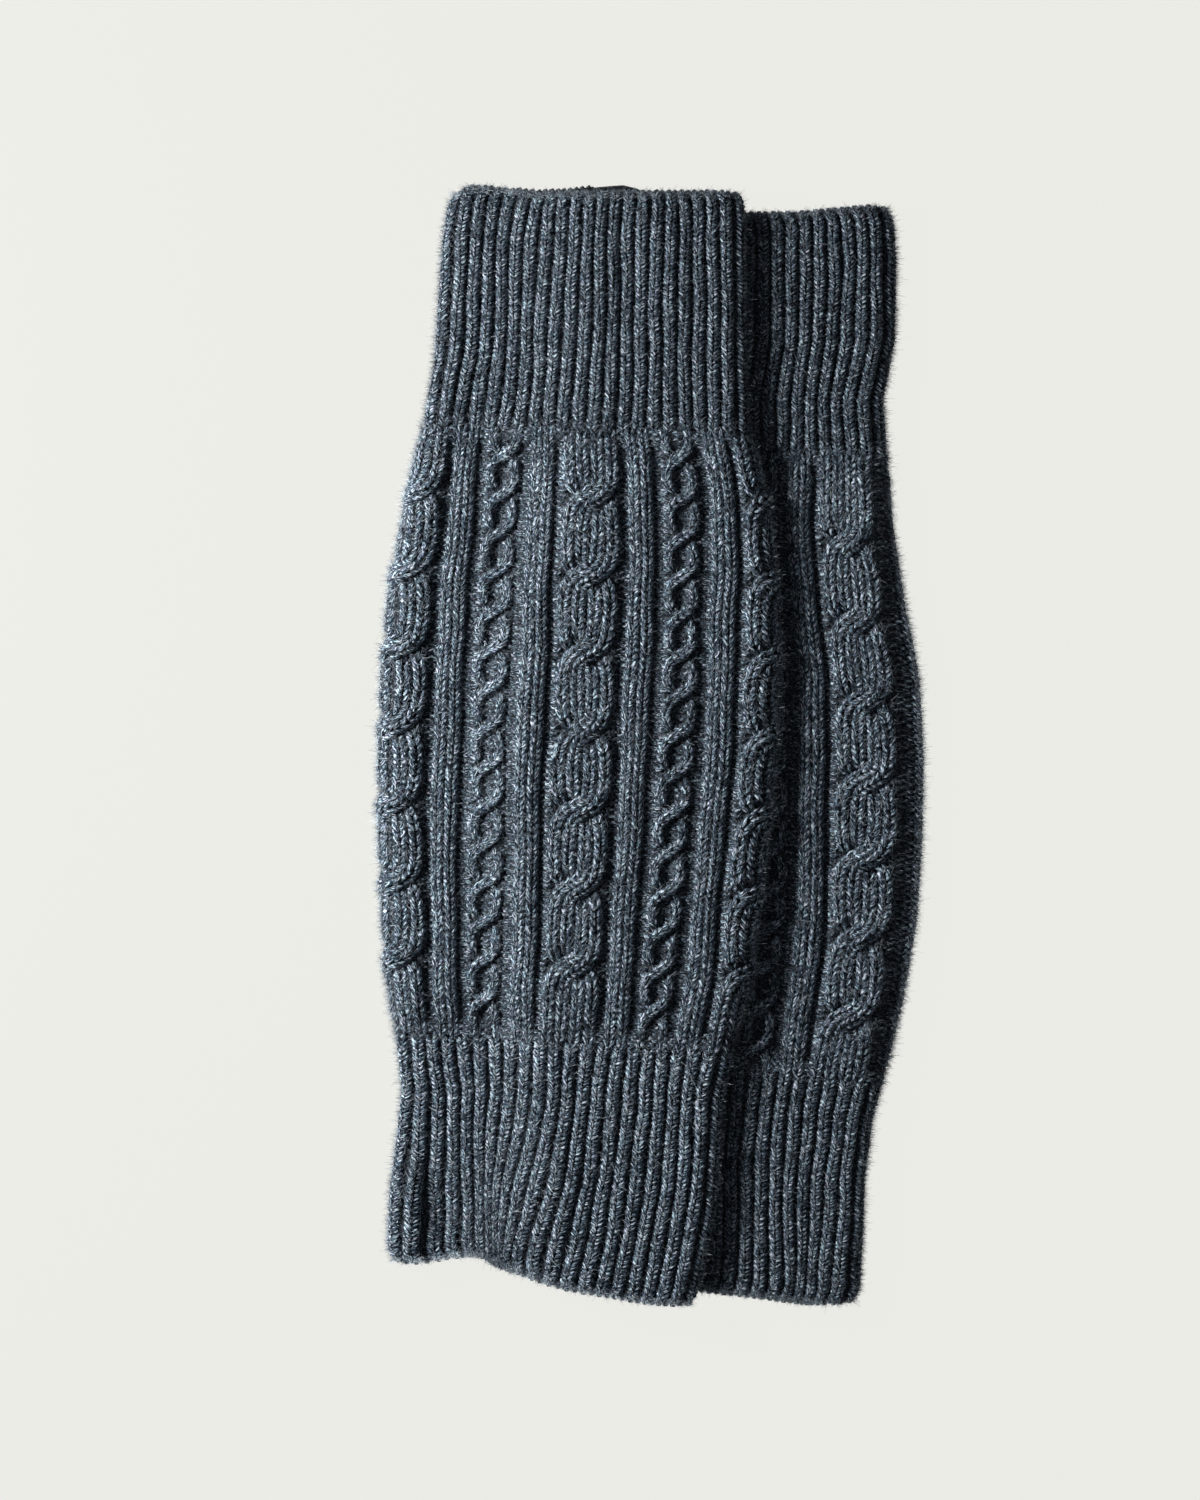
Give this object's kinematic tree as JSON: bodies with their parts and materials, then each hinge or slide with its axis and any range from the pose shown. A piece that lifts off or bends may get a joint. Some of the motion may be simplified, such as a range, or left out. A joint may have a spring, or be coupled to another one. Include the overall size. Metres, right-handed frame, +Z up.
{
  "type": "pair of leg warmers",
  "caption": "Pair of cable-knit wool leg warmers with ribbed cuffs, laid flat with one partly over the other.",
  "frame": {"origin": "under the middle of the pair's bounding box, on the surface it lies on", "axes": "+Y along the legs towards the upper cuffs, +X across towards the back leg warmer, +Z up off the surface"},
  "size_m": [0.2068, 0.4254, 0.0187],
  "materials": {
    "wool_knit": "matte, marled, slightly hairy wool"
  },
  "bodies": {
    "root": {"front_upper_cuff": "wool_knit", "front_cable_leg": "wool_knit", "front_lower_cuff": "wool_knit", "back_upper_cuff": "wool_knit", "back_cable_leg": "wool_knit", "back_lower_cuff": "wool_knit"}
  },
  "joints": []
}
